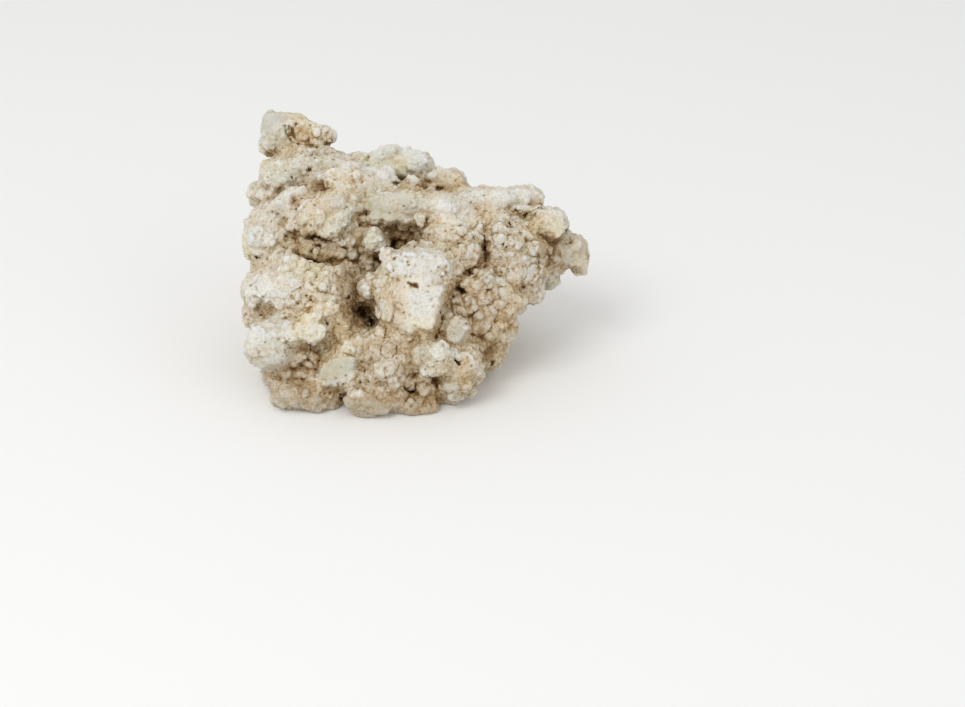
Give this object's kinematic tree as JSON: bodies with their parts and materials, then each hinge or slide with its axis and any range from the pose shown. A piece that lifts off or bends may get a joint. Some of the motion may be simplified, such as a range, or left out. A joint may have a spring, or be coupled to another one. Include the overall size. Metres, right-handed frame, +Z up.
{
  "type": "dry reef rock",
  "caption": "Lumpy, porous block of old reef limestone with a blunt knob, a hanging snout, ledges, pits and deep hollows, resting on a small flat spot.",
  "frame": {"origin": "middle of the rock's box, at the level of the surface it rests on", "axes": "+Z up as it rests, +X towards the snout, and -Y towards the front, which leans back"},
  "size_m": [0.2388, 0.1756, 0.1588],
  "materials": {
    "limestone": "chalky, matt, white on the crests and tan to brown in the hollows"
  },
  "bodies": {
    "root": {"reef_rock": "limestone"}
  },
  "joints": []
}
